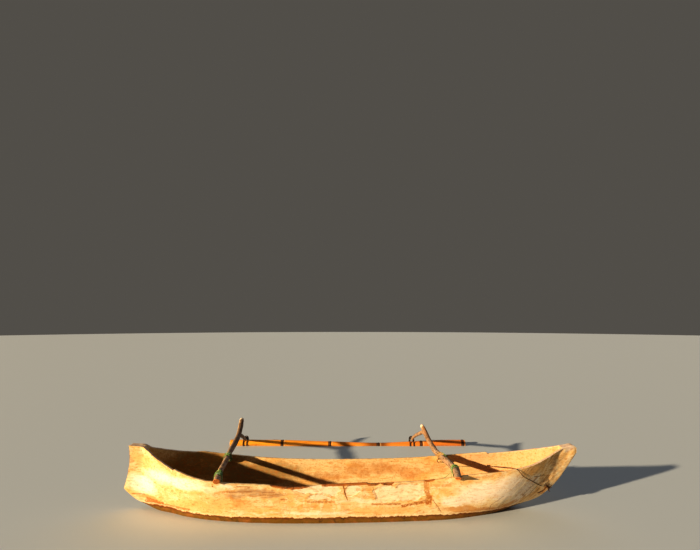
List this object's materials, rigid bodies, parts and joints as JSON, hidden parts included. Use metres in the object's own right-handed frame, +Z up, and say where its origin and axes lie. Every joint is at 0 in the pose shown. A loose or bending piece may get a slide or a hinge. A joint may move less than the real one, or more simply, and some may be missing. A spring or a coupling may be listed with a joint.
{
  "type": "dugout outrigger canoe",
  "caption": "Small dugout canoe with a bamboo outrigger float held off one side by forked branch booms tied across the gunwales.",
  "frame": {"origin": "on the hull's centre line, amidships, in the plane of the water", "axes": "+X along the hull to the bow, +Y out to the float, +Z up"},
  "size_m": [3.9675, 2.1733, 0.6305],
  "materials": {
    "hull_wood": "adzed bare wood, pale straw to orange-brown, weathered",
    "bark": "grey-brown bark, matt, cut ends bare",
    "bamboo": "orange-brown bamboo, smooth and half glossy",
    "twine": "faded green twine",
    "wet_rope": "dark wet rope",
    "cord": "thin brown cord"
  },
  "bodies": {
    "root": {"hull": "hull_wood", "boom_aft": "bark", "boom_fore": "bark", "float": "bamboo", "lashing_aft_near": "twine", "lashing_aft_far": "twine", "lashing_fore_near": "twine", "lashing_fore_far": "twine", "lashing_aft_float": "wet_rope", "lashing_fore_float": "wet_rope", "painter": "cord"}
  },
  "joints": []
}
